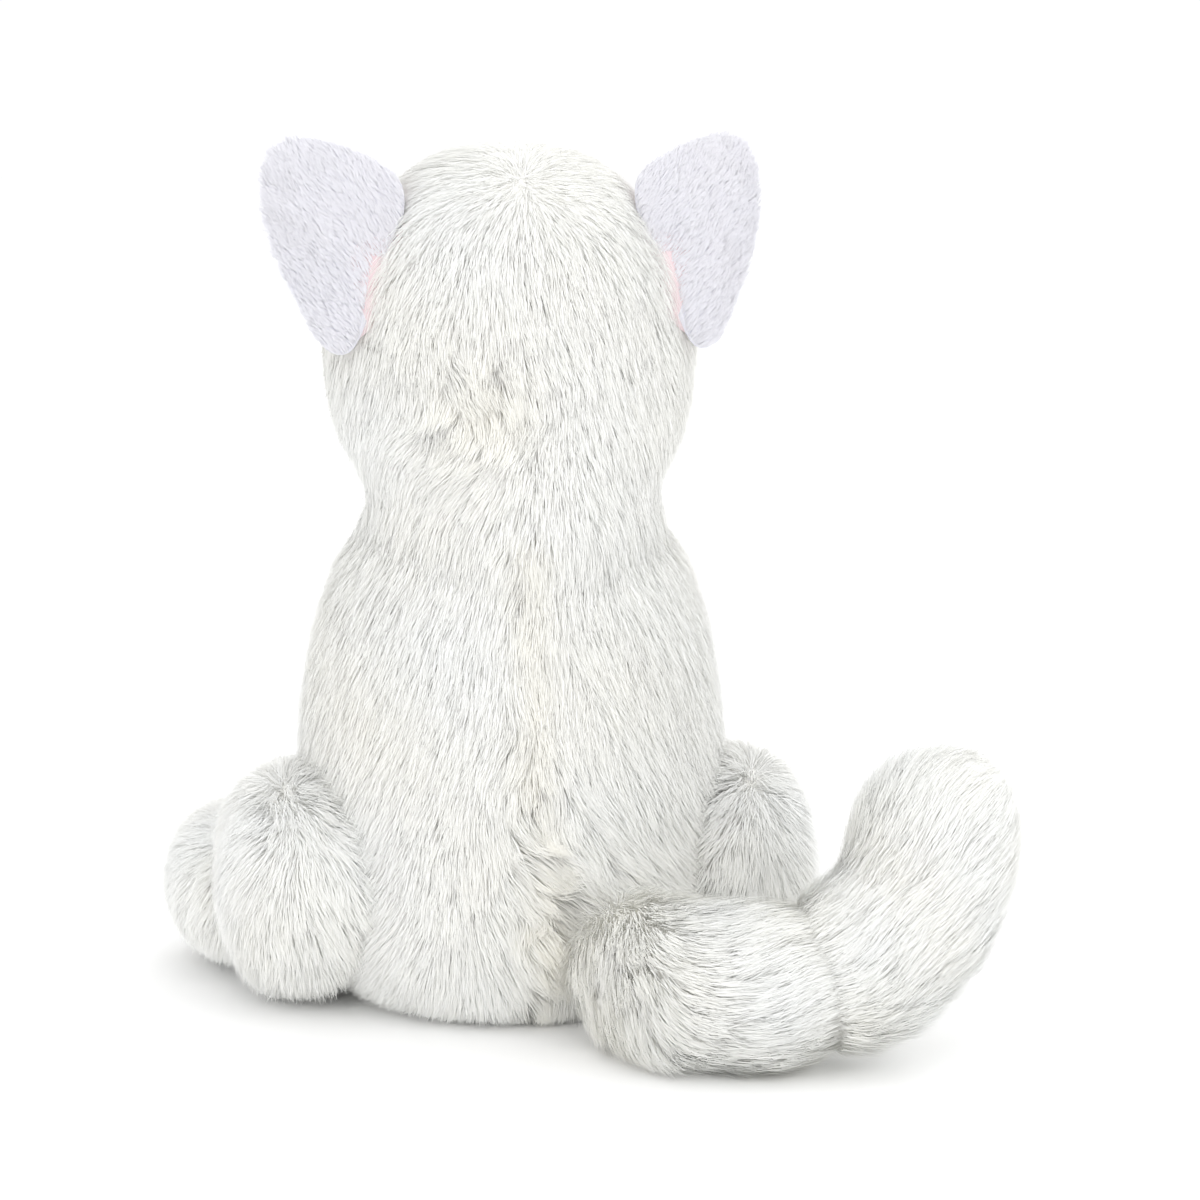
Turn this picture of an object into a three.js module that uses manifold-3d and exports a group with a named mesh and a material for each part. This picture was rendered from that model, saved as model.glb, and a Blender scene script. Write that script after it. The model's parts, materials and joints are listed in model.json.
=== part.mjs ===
// A seated plush cat: fur-fabric panels sewn over stuffing, with a soft neck, legs, ears and tail.
// Millimetres, +Z up. The cat sits on z = 0 and faces -Y; its left side is +X. The origin is the
// middle of the flat base panel.
import * as THREE from 'three';
import Module from 'manifold-3d';
import { LoftGeometry } from 'three/addons/geometries/LoftGeometry.js';
import { mergeVertices } from 'three/addons/utils/BufferGeometryUtils.js';

const wasm = await Module();
wasm.setup();

// Driving dimensions
const FUR = 6; // pressed fur fabric: backing and pile
const GAP = 0.3; // between two pieces that touch
const CORE_INSET = FUR + 0.5; // from the outer face of the fur to the stuffing
const JOINT_GAP = 1.2; // between two parts that move against each other
const FAR = 400; // past every face of the toy, for cutting tools
const NECK = new THREE.Vector3(0, 4, 160); // the middle of the ball of stuffing in the neck
const NECK_RADIUS = 44;
const TORSO_TOP = NECK.z - 6;
const HEAD_BOTTOM = NECK.z + 6;
const BASE_THICKNESS = 4;
const BAG = new THREE.Vector3(0, 6, 22); // the middle of the pellet bag
const BAG_SIZE = new THREE.Vector3(40, 38, 14);
const HIP = new THREE.Vector3(60, 10, 40); // the inner face of the left haunch
const HAUNCH_RADIUS = 38;
const HAUNCH_DEPTH = 35;
const FOOT = new THREE.Vector3(87, -40, 27.5);
const FOOT_SIZE = new THREE.Vector3(24, 37, 26.5);
const ANKLE = new THREE.Vector3(80, -17, 25);
const ANKLE_SIZE = new THREE.Vector3(16, 22, 19);
const SOLE_Y = FOOT.y - 0.8 * FOOT_SIZE.y;
const SHOULDER = new THREE.Vector3(26, -73, 100);
const LEG_RADIUS = 19;
const PAW = new THREE.Vector3(30, -87, 18);
const RUMP_Y = 68.5; // just behind the torso, where the tail lies against it
const TAIL_RADIUS = 24;
const TAIL_ROOT = new THREE.Vector3(-20, RUMP_Y + TAIL_RADIUS, TAIL_RADIUS + 1);
const TAIL_BEND = new THREE.Vector3(-60, 118, TAIL_RADIUS + 1.5);
const EYE = { x: 23, z: 222, radius: 8, shank: 2.2 };
const NOSE = { z: 208, width: 15, height: 10, shank: 2 };
const MUZZLE = { y: -50, z: 200, size: new THREE.Vector3(24, 15.5, 17) };
const EAR_FOOT = new THREE.Vector3(57.5, 29, 212); // the lower end of the line the left ear folds on
const EAR_HEAD = new THREE.Vector3(44, 19, 267); // its upper end
const EAR_BACK = 4;
const EAR_LINING = 2.4;

// Each station of an upright form: height, half width, half depth, and how far back its middle is.
const TORSO = [
  [0, 50, 50, 8],
  [9, 61, 58, 8],
  [26, 66, 61, 6],
  [48, 67, 60, 4],
  [72, 68.5, 57, 2],
  [95, 68, 53, 1],
  [120, 65, 49, 2],
  [140, 59.5, 47.5, 4],
  [TORSO_TOP, 53, 46.5, 4],
];
const HEAD = [
  [HEAD_BOTTOM, 50.5, 46.5, 4],
  [174, 55.5, 49, 1],
  [187, 59.5, 51, -2],
  [203, 61, 52, -3],
  [220, 59.5, 51, -3],
  [236, 57, 49, -2],
  [250, 52, 45, 0],
  [262, 45.5, 39, 2],
  [270, 38, 32, 3],
  [274.5, 26, 22, 3],
  [276, 1, 1, 3],
];

const fur = { color: 0xf3f4ef, roughness: 0.95, metalness: 0 };
const shortPile = { color: 0xe9e9f2, roughness: 0.9, metalness: 0 };
const pinkPile = { color: 0xecccd2, roughness: 0.9, metalness: 0 };
const stuffing = { color: 0xf7f7f7, roughness: 1, metalness: 0 };
const bagCloth = { color: 0xd9d4c8, roughness: 0.9, metalness: 0 };
const eyePlastic = { color: 0x2f6fa8, roughness: 0.15, metalness: 0 };
const nosePlastic = { color: 0xd98f98, roughness: 0.5, metalness: 0 };
const washerPlastic = { color: 0xe6e6e6, roughness: 0.5, metalness: 0 };
const thread = { color: 0xc9808c, roughness: 0.8, metalness: 0 };

// Solids in and out of the boolean library

function solid(geometry) {
  const bare = new THREE.BufferGeometry();
  bare.setAttribute('position', geometry.getAttribute('position'));
  bare.setIndex(geometry.getIndex());
  const merged = mergeVertices(bare, 1e-3);
  return new wasm.Manifold(new wasm.Mesh({
    numProp: 3,
    vertProperties: merged.attributes.position.array,
    triVerts: new Uint32Array(merged.index.array),
  }));
}

function geometryOf(body) {
  const mesh = body.getMesh();
  const geometry = new THREE.BufferGeometry();
  geometry.setAttribute('position', new THREE.BufferAttribute(mesh.vertProperties, 3));
  geometry.setIndex(new THREE.BufferAttribute(mesh.triVerts, 1));
  geometry.computeVertexNormals();
  return geometry;
}

// A box from its lowest to its highest corner, for cutting.
function block(low, high) {
  const size = high.map((value, i) => value - low[i]);
  const box = new THREE.BoxGeometry(...size);
  return solid(box.translate(...low.map((value, i) => value + size[i] / 2)));
}

function ball(centre, radius, rings = 9) {
  const sphere = new THREE.SphereGeometry(radius, 2 * rings, rings);
  return solid(sphere.translate(centre.x, centre.y, centre.z));
}

// An upright egg with different half sizes along X, Y and Z.
function egg(centre, size, rings) {
  const sphere = new THREE.SphereGeometry(1, 2 * rings, rings);
  sphere.scale(size.x, size.y, size.z).translate(centre.x, centre.y, centre.z);
  return solid(sphere);
}

// A round bar along Y, for a shank or the hole it passes through.
function barAlongY(x, z, radius, fromY, toY, sides = 8) {
  const bar = new THREE.CylinderGeometry(radius, radius, toY - fromY, sides);
  return bar.translate(x, (fromY + toY) / 2, z);
}

// Forms

// An upright form through its stations, shrunk all round by inset, as smooth rings of sides points.
function uprightForm(stations, inset, rings, sides) {
  const low = stations[0][0];
  const high = stations.at(-1)[0];
  const shrink = (high - low - 2 * inset) / (high - low);
  const widths = new THREE.SplineCurve(stations.map(([z, width]) => new THREE.Vector2(z, width)));
  const depths = new THREE.SplineCurve(stations.map(([z, , depth]) => new THREE.Vector2(z, depth)));
  const middles = new THREE.SplineCurve(stations.map(([z, , , y]) => new THREE.Vector2(z, y)));
  const sections = [];
  for (let i = 0; i <= rings; i++) {
    const t = i / rings;
    const width = Math.max(widths.getPoint(t).y - inset, 0.8);
    const depth = Math.max(depths.getPoint(t).y - inset, 0.8);
    const middle = middles.getPoint(t).y;
    const z = low + inset + (widths.getPoint(t).x - low) * shrink;
    const ring = [];
    for (let j = 0; j < sides; j++) {
      const angle = (j / sides) * 2 * Math.PI;
      ring.push(new THREE.Vector3(width * Math.cos(angle), middle + depth * Math.sin(angle), z));
    }
    sections.push(ring);
  }
  return solid(new LoftGeometry(sections, { capStart: true, capEnd: true }));
}

// A stuffed tube round a curve, with a half ball on each end. Its radius may change along it.
function roundedTube(path, radiusAt, inset, rings, sides) {
  const frames = path.computeFrenetFrames(rings);
  const sections = [];
  const addRing = (t, frame, radius, ahead) => {
    const centre = path.getPointAt(t).addScaledVector(frames.tangents[frame], ahead);
    const ring = [];
    for (let j = 0; j < sides; j++) {
      const angle = (j / sides) * 2 * Math.PI;
      ring.push(centre.clone()
        .addScaledVector(frames.normals[frame], radius * Math.cos(angle))
        .addScaledVector(frames.binormals[frame], radius * Math.sin(angle)));
    }
    sections.push(ring);
  };
  const domeAngles = [84, 55, 27].map(THREE.MathUtils.degToRad);
  const startRadius = radiusAt(0) - inset;
  const endRadius = radiusAt(1) - inset;
  for (const angle of domeAngles) {
    addRing(0, 0, startRadius * Math.cos(angle), -startRadius * Math.sin(angle));
  }
  for (let i = 0; i <= rings; i++) addRing(i / rings, i, radiusAt(i / rings) - inset, 0);
  for (const angle of [...domeAngles].reverse()) {
    addRing(1, rings, endRadius * Math.cos(angle), endRadius * Math.sin(angle));
  }
  return solid(new LoftGeometry(sections, { capStart: true, capEnd: true }));
}

// The open seam of a stuffed tube: a thin ribbon that leaves the curve towards one side of it.
function seamAlong(path, towards) {
  const sections = [];
  for (const t of [0.04, 0.28, 0.52, 0.73, 0.96]) {
    const centre = path.getPointAt(t);
    const ahead = path.getTangentAt(t);
    const outwards = towards.clone().addScaledVector(ahead, -towards.dot(ahead)).normalize();
    const across = ahead.clone().cross(outwards).multiplyScalar(GAP / 2);
    const far = centre.clone().addScaledVector(outwards, 2 * TAIL_RADIUS);
    sections.push([
      far.clone().sub(across),
      far.clone().add(across),
      centre.clone().add(across),
      centre.clone().sub(across),
    ]);
  }
  return solid(new LoftGeometry(sections, { capStart: true, capEnd: true }));
}

// Names and materials

const cat = new THREE.Group();

function add(name, body, material, parent = cat) {
  const geometry = body.isBufferGeometry ? body : geometryOf(body);
  const mesh = new THREE.Mesh(geometry, new THREE.MeshStandardMaterial(material));
  mesh.name = name;
  parent.add(mesh);
  return mesh;
}

// The right side of the cat is the mirror image of the left.
const sides = { left: new THREE.Group(), right: new THREE.Group() };
sides.right.scale.x = -1;
cat.add(sides.left, sides.right);

function addPair(name, body, material) {
  for (const [side, group] of Object.entries(sides)) add(`${name}_${side}`, body, material, group);
}

// Haunch and foot

// The haunch is a lens on the flank, round about the hip's axis, which runs along X.
function haunch(grow) {
  const outline = new THREE.SplineCurve([
    new THREE.Vector2(0.84, 0),
    new THREE.Vector2(1, 0.28),
    new THREE.Vector2(0.88, 0.68),
    new THREE.Vector2(0.5, 0.93),
    new THREE.Vector2(0, 1),
  ]).getPoints(5);
  const points = [new THREE.Vector2(0, -grow)];
  for (const { x, y } of outline) {
    const radius = Math.max(x * (HAUNCH_RADIUS + grow), 0);
    points.push(new THREE.Vector2(radius, y * (HAUNCH_DEPTH + 2 * grow) - grow));
  }
  const lens = new THREE.LatheGeometry(points, 16);
  lens.rotateZ(-Math.PI / 2).translate(HIP.x, HIP.y, HIP.z);
  return solid(lens);
}

function hindLeg(grow) {
  const foot = egg(FOOT, FOOT_SIZE.clone().addScalar(grow), 7);
  const ankle = egg(ANKLE, ANKLE_SIZE.clone().addScalar(grow), 5);
  return haunch(grow).add(foot).add(ankle);
}

const aboveFloor = block([-FAR, -FAR, 0.5], [FAR, FAR, FAR]);

function buildHindLegs() {
  const outer = hindLeg(0).intersect(aboveFloor);
  const inner = hindLeg(-FUR);
  const seamX = HIP.x + 13.6;
  const seam = block([seamX, -FAR, -1], [seamX + GAP, FAR, FOOT.z - 1]);
  const toSole = block([-FAR, -FAR, -FAR], [FAR, SOLE_Y - GAP / 2, FAR]);
  const toLeg = block([-FAR, SOLE_Y + GAP / 2, -FAR], [FAR, FAR, FAR]);
  const skin = outer.subtract(inner);
  addPair('hind_leg_skin', skin.intersect(toLeg).subtract(seam), fur);
  addPair('hind_foot_sole', skin.intersect(toSole), shortPile);
  addPair('hind_leg_stuffing', hindLeg(-CORE_INSET), stuffing);
}

// Front legs

function buildFrontLegs() {
  const path = new THREE.CatmullRomCurve3([
    SHOULDER,
    new THREE.Vector3(SHOULDER.x + 2, SHOULDER.y - 2, 62),
    new THREE.Vector3(PAW.x - 1, SHOULDER.y - 4, 30),
    PAW,
  ]);
  const radiusAt = (t) => LEG_RADIUS - 1.6 * Math.sin(t * Math.PI);
  const tube = (inset) => roundedTube(path, radiusAt, inset, 5, 10);
  const slit = seamAlong(path, new THREE.Vector3(0, 1, 0));
  const outer = tube(0).intersect(aboveFloor);
  const pawSeamY = PAW.y - 8;
  const pawFront = block([-FAR, -FAR, -FAR], [FAR, pawSeamY - GAP, FAR]);
  const restOfLeg = block([-FAR, pawSeamY, -FAR], [FAR, FAR, FAR]);
  const skin = outer.subtract(tube(FUR));
  addPair('front_leg_skin', skin.intersect(restOfLeg).subtract(slit), fur);
  addPair('front_paw_tip', skin.intersect(pawFront), fur);
  addPair('front_leg_stuffing', tube(CORE_INSET), stuffing);
}

// Torso

function buildTorso() {
  const leftHaunch = haunch(JOINT_GAP);
  const haunches = leftHaunch.add(leftHaunch.mirror([1, 0, 0]));
  const hollows = haunches.add(ball(NECK, NECK_RADIUS + JOINT_GAP));
  const outer = uprightForm(TORSO, 0, 10, 22).subtract(hollows);
  const skin = outer.subtract(uprightForm(TORSO, FUR, 8, 18));
  const overBase = BASE_THICKNESS + GAP;
  const sideSeamY = -14;
  const back = block([GAP / 2, sideSeamY + GAP, overBase], [FAR, FAR, FAR]);
  const front = block([-FAR, -FAR, overBase], [FAR, sideSeamY, FAR]);
  const base = uprightForm(TORSO, 0, 10, 22).intersect(block([-FAR, -FAR, -1], [FAR, FAR, BASE_THICKNESS]));
  add('base_panel', base.subtract(haunches), shortPile);
  addPair('back_panel', skin.intersect(back), fur);
  add('belly_panel', skin.intersect(front), fur);

  const bag = (grow) => egg(BAG, BAG_SIZE.clone().addScalar(grow), 6);
  const mouthHalf = BAG_SIZE.x / 2; // the stuffing is packed round the bag from below
  const bagMouth = block([-mouthHalf, BAG.y - mouthHalf, 0], [mouthHalf, BAG.y + mouthHalf, BAG.z]);
  const core = uprightForm(TORSO, CORE_INSET, 8, 18).subtract(hollows);
  add('torso_stuffing', core.subtract(bag(GAP)).subtract(bagMouth), stuffing);
  add('pellet_bag', bag(0), bagCloth);
}

// Head

function buildHead() {
  const neck = ball(NECK, NECK_RADIUS + JOINT_GAP);
  const muzzleAt = new THREE.Vector3(0, MUZZLE.y, MUZZLE.z);
  const muzzle = (grow) => egg(muzzleAt, MUZZLE.size.clone().addScalar(grow), 6);
  const outer = uprightForm(HEAD, 0, 11, 22).subtract(neck);
  const skin = outer.subtract(uprightForm(HEAD, FUR, 9, 18));
  const earSeamY = 4;
  const back = block([GAP / 2, earSeamY + GAP, -FAR], [FAR, FAR, FAR]);
  const front = block([-FAR, -FAR, -FAR], [FAR, earSeamY, FAR]);

  const eyeY = -51;
  const noseY = MUZZLE.y - MUZZLE.size.y * 0.88;
  const noseShankEnd = noseY + 14;
  const eyeHole = solid(barAlongY(EYE.x, EYE.z, EYE.shank + GAP, eyeY - 20, eyeY + 14));
  const eyeBed = solid(barAlongY(EYE.x, EYE.z, EYE.radius + GAP, eyeY - 20, eyeY, 12));
  const washerRoom = solid(barAlongY(EYE.x, EYE.z, EYE.radius + 1, eyeY + 3, eyeY + 14, 10));
  const eyeHoles = eyeHole.add(eyeBed).add(eyeHole.add(eyeBed).mirror([1, 0, 0]));
  const washerRooms = washerRoom.add(washerRoom.mirror([1, 0, 0]));
  const noseHole = solid(barAlongY(0, NOSE.z - 2, NOSE.shank + GAP, noseY - 12, noseShankEnd + 1));

  addPair('head_back_panel', skin.intersect(back), fur);
  const faceRegion = front.subtract(muzzle(GAP)).subtract(eyeHoles);
  const face = skin.intersect(faceRegion).subtract(washerRooms);
  add('face_panel', face, fur);

  const behindFace = uprightForm(HEAD, CORE_INSET, 9, 18);
  const muzzleShell = muzzle(0).subtract(muzzle(-4)).subtract(behindFace);
  const noseBed = solid(noseShape(NOSE.width / 2 + GAP, 6).translate(0, noseY + 3, 0));
  const chinSlit = block([-GAP / 2, -FAR, -FAR], [GAP / 2, FAR, MUZZLE.z]);
  const noseWasherRoom = solid(barAlongY(0, NOSE.z - 2, 7, noseY + 8, noseShankEnd + 1, 10));
  const noseRoom = noseHole.add(noseBed).add(noseWasherRoom);
  add('muzzle_panel', muzzleShell.subtract(noseRoom).subtract(chinSlit), fur);
  add('muzzle_stuffing', muzzle(-4.2 - GAP).subtract(behindFace).subtract(noseRoom), stuffing);

  const core = uprightForm(HEAD, CORE_INSET, 9, 18).subtract(neck);
  const clearOfFittings = core.subtract(washerRooms).subtract(eyeHoles).subtract(noseRoom);
  add('head_stuffing', clearOfFittings, stuffing);

  // A safety eye is one moulding: a dome and the shank that its washer locks on.
  const eye = new THREE.LatheGeometry([
    [0, -13], [EYE.shank, -13], [EYE.shank, 0], [EYE.radius, 0], [7.2, 2.4], [4.6, 4.2], [0, 4.9],
  ].map(([r, h]) => new THREE.Vector2(r, h)), 12);
  addPair('eye', eye.rotateX(Math.PI).translate(EYE.x, eyeY - 0.3, EYE.z), eyePlastic);
  addPair('eye_washer', washer(EYE.shank, EYE.radius, EYE.x, EYE.z, eyeY + 8), washerPlastic);
  const noseBar = solid(barAlongY(0, NOSE.z - 2, NOSE.shank, noseY - 1, noseShankEnd));
  add('nose', solid(noseShape(NOSE.width / 2, 5).translate(0, noseY + 2.7, 0)).add(noseBar), nosePlastic);
  add('nose_washer', washer(NOSE.shank, 6, 0, NOSE.z - 2, noseY + 10), washerPlastic);
  buildMouth(noseY);
}

// A washer round a shank that runs along Y.
function washer(shank, radius, x, z, y) {
  const hole = solid(barAlongY(x, z, shank + GAP, y - 2, y + 4));
  return solid(barAlongY(x, z, radius, y, y + 1.6, 12)).subtract(hole);
}

// The nose is a rounded triangle with its point down, extruded along Y.
function noseShape(half, depth) {
  const shape = new THREE.Shape();
  shape.moveTo(-half, NOSE.height * 0.35);
  shape.quadraticCurveTo(0, NOSE.height * 0.75, half, NOSE.height * 0.35);
  shape.quadraticCurveTo(half * 0.55, -NOSE.height * 0.45, 0, -NOSE.height * 0.55);
  shape.quadraticCurveTo(-half * 0.55, -NOSE.height * 0.45, -half, NOSE.height * 0.35);
  const body = new THREE.ExtrudeGeometry(shape, { depth, bevelEnabled: false, curveSegments: 5 });
  return body.rotateX(Math.PI / 2).translate(0, 0, NOSE.z);
}

// The mouth is one embroidered line: down from the nose, then out to both cheeks.
function buildMouth(noseY) {
  const section = new THREE.Shape().absarc(0, 0, 0.8, 0, 2 * Math.PI);
  const strand = (points) => {
    const onMuzzle = points.map(([x, z]) => {
      const { x: a, y: b, z: c } = MUZZLE.size;
      const bulge = Math.sqrt(1 - (x / a) ** 2 - ((z - MUZZLE.z) / c) ** 2);
      return new THREE.Vector3(x, MUZZLE.y - b * bulge - 1.3, z);
    });
    const extrudePath = new THREE.CatmullRomCurve3(onMuzzle);
    return solid(new THREE.ExtrudeGeometry(section, { steps: 5, curveSegments: 3, extrudePath }));
  };
  const fork = [0, 198];
  const cheek = strand([fork, [3.5, 195.2], [8, 195], [11.5, 197.5]]);
  const stem = strand([[0, NOSE.z - 6.6], [0, 199.5], [0, 197.6]]);
  add('mouth_stitching', stem.add(cheek).add(cheek.mirror([1, 0, 0])), thread);
}

// Ears

// An ear lies in a plane that holds its fold line. Its outline runs up and out from the fold line.
function earPlate(inset, thickness, start) {
  const rim = [[9, 3], [20, 15], [31, 28], [38, 43], [36.5, 54.5], [27, 60.5], [11, 61]];
  const outline = rim.map(([out, up]) => {
    const toMiddle = new THREE.Vector2(18 - out, 36 - up).setLength(inset);
    return new THREE.Vector2(out, up).add(toMiddle);
  });
  const shape = new THREE.Shape();
  shape.moveTo(1.5, 1 + inset);
  shape.splineThru(outline);
  shape.lineTo(1.5, 56 - inset);
  shape.closePath();
  const plate = new THREE.ExtrudeGeometry(shape, { depth: thickness, bevelEnabled: false, curveSegments: 2 });
  return plate.translate(0, 0, start);
}

function buildEars() {
  const up = EAR_HEAD.clone().sub(EAR_FOOT).normalize();
  const outwards = new THREE.Vector3(0.93, -0.36, 0);
  const forwards = outwards.clone().cross(up).normalize();
  const out = up.clone().cross(forwards);
  const frame = new THREE.Matrix4().makeBasis(out, up, forwards).setPosition(EAR_FOOT);
  const backPanel = earPlate(0, EAR_BACK, -EAR_BACK - GAP / 2);
  const lining = earPlate(1.5, EAR_LINING, GAP / 2);
  addPair('ear_back', backPanel.applyMatrix4(frame), shortPile);
  addPair('ear_lining', lining.applyMatrix4(frame), pinkPile);
}

// Tail

// The tail is two tubes. The first ends in a half ball, and the second starts in a cup round that ball.
function buildTail() {
  const basePath = new THREE.CatmullRomCurve3([
    TAIL_ROOT,
    new THREE.Vector3(-38, 108, TAIL_ROOT.z),
    TAIL_BEND,
  ]);
  const tipPath = new THREE.CatmullRomCurve3([
    TAIL_BEND,
    new THREE.Vector3(-90, 119, TAIL_BEND.z + 7),
    new THREE.Vector3(-108, 115, TAIL_BEND.z + 25),
    new THREE.Vector3(-114, 111, TAIL_BEND.z + 45),
  ]);
  const cup = ball(TAIL_BEND, TAIL_RADIUS + JOINT_GAP);
  const parts = { tail_base: [basePath, null], tail_tip: [tipPath, cup] };
  for (const [name, [path, hollow]] of Object.entries(parts)) {
    const tube = (inset) => {
      const whole = roundedTube(path, () => TAIL_RADIUS, inset, 5, 10);
      return hollow ? whole.subtract(hollow) : whole;
    };
    const slit = seamAlong(path, new THREE.Vector3(0.3, -1, 0.1));
    add(`${name}_skin`, tube(0).subtract(tube(FUR)).subtract(slit), fur);
    add(`${name}_stuffing`, tube(CORE_INSET + GAP), stuffing);
  }
}

function buildNeck() {
  add('neck_stuffing', ball(NECK, NECK_RADIUS), stuffing);
}

buildTorso();
buildNeck();
buildHead();
buildEars();
buildFrontLegs();
buildHindLegs();
buildTail();

export default cat;
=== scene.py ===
import json
import math

import bmesh
import bpy
import numpy as np
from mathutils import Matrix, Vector, kdtree


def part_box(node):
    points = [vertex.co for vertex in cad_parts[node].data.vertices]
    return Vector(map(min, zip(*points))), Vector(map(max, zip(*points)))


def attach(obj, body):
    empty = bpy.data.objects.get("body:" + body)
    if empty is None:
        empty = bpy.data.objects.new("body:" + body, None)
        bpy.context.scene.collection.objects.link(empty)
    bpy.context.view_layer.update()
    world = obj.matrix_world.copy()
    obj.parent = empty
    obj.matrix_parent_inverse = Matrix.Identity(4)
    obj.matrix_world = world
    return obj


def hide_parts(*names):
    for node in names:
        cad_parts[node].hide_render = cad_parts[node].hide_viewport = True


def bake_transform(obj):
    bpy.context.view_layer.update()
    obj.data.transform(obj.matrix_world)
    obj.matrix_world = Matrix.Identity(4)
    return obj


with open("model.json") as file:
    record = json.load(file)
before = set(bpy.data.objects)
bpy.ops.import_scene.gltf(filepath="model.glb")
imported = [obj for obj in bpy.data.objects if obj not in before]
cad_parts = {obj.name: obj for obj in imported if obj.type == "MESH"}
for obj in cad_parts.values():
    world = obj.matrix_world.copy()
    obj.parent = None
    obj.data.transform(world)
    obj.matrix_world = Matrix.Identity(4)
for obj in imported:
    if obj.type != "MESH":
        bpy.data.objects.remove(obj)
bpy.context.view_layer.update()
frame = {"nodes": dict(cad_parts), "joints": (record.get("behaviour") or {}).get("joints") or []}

# A seated long-pile plush cat. Metres, +Z up; it sits on z = 0 and faces -Y, and its left is +X.
# Each stuffed form starts as the CAD stuffing, is blown up by cloth pressure and let out to the roots
# of its pile. It is cut into its sewn panels, and fur grows from it as real strands, each piece of fur
# riding with the panel that it grows on.

MM = 0.001
NODES = frame["nodes"]
JOINTS = {joint["name"]: joint for joint in frame["joints"]}

NECK_Z = JOINTS["head_turn"]["pos_m"][2]
NECK_HALF = 12 * MM  # the neck skin turns over this much above and below the joint
SIDE_SEAM_Y = -14 * MM
EAR_SEAM_Y = 4 * MM
BACKING = 1.2 * MM  # thickness of the fabric that the pile grows on
BASE_SEAM_Z = 6 * MM
LOWEST_ROOT_Z = 3 * MM  # no strand grows from lower down, where the form rests on the floor
FLOOR_GAP = 0.5 * MM  # the lowest that cloth or a strand lies

FUR_COLUMNS = 64  # tones across the fur's map, from cool white to ivory; the ivory is partly painted shade in partings and hollows
DENSITY = 1.0
STRANDS_PER_MM2 = 3.0
CLOTH_FRAMES = 20

VIEW_AZIMUTH, VIEW_ELEVATION = 170, 10  # degrees
VIEW_TARGET = Vector((-0.026, 0.020, 0.130))
VIEW_DISTANCE = 1.27
LENS, SENSOR = 118, 36  # millimetres
LIGHT_SIZE = 1.6


# ---- Camera, light and floor ----

def make_camera():
    data = bpy.data.cameras.new("camera")
    data.lens = LENS
    data.sensor_width = SENSOR
    camera = bpy.data.objects.new("camera", data)
    bpy.context.scene.collection.objects.link(camera)
    azimuth = math.radians(VIEW_AZIMUTH)
    elevation = math.radians(VIEW_ELEVATION)
    away = Vector((
        math.sin(azimuth) * math.cos(elevation),
        -math.cos(azimuth) * math.cos(elevation),
        math.sin(elevation),
    ))
    camera.location = VIEW_TARGET + away * VIEW_DISTANCE
    camera.rotation_mode = "QUATERNION"
    camera.rotation_quaternion = (-away).to_track_quat("-Z", "Y")
    bpy.context.scene.camera = camera


def area_light(name, place, target, watts):
    data = bpy.data.lights.new(name, "AREA")
    data.shape = "DISK"
    data.size = LIGHT_SIZE
    data.energy = watts
    light = bpy.data.objects.new(name, data)
    light.location = place
    light.rotation_mode = "QUATERNION"
    light.rotation_quaternion = (Vector(target) - Vector(place)).to_track_quat("-Z", "Y")
    bpy.context.scene.collection.objects.link(light)


def make_stage():
    scene = bpy.context.scene
    scene.view_settings.view_transform = "Standard"
    scene.view_settings.look = "None"
    world = bpy.data.worlds.new("studio")
    world.use_nodes = True
    background = world.node_tree.nodes["Background"]
    background.inputs["Color"].default_value = (1, 1, 1, 1)
    background.inputs["Strength"].default_value = 1.03
    scene.world = world
    middle = (0, 0, 0.13)
    area_light("key_light", (0.8, 1.5, 1.0), middle, 6)
    area_light("fill_light", (-1.0, 1.4, 0.8), middle, 4.5)
    area_light("front_light", (-0.6, -1.6, 1.1), middle, 6)
    area_light("top_light", (0, 0.3, 1.8), middle, 3)
    scene.cycles.diffuse_bounces = 12
    scene.cycles.max_bounces = 12

    bpy.ops.mesh.primitive_circle_add(vertices=96, radius=4, fill_type="NGON")
    floor = bpy.context.object
    floor.name = "floor"
    material = bpy.data.materials.new("floor_paper")
    material.use_nodes = True
    shader = material.node_tree.nodes["Principled BSDF"]
    shader.inputs["Base Color"].default_value = (0.98, 0.98, 0.98, 1)
    shader.inputs["Roughness"].default_value = 0.9
    floor.data.materials.append(material)


# ---- Materials ----

def new_material(name):
    material = bpy.data.materials.new(name)
    material.use_nodes = True
    tree = material.node_tree
    shader = tree.nodes["Principled BSDF"]
    return material, tree, shader


def add_node(tree, kind, **values):
    """A shader node of this kind with these settings."""
    node = tree.nodes.new(kind)
    for key, value in values.items():
        setattr(node, key, value)
    return node


def ramp(tree, factor, stops):
    """The colour that a factor gives between stops of (place, colour)."""
    node = add_node(tree, "ShaderNodeValToRGB")
    tree.links.new(factor, node.inputs["Fac"])
    elements = node.color_ramp.elements
    while len(elements) < len(stops):
        elements.new(0.5)
    for element, (place, color) in zip(elements, stops):
        element.position = place
        element.color = (*color, 1)
    return node.outputs["Color"]


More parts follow.
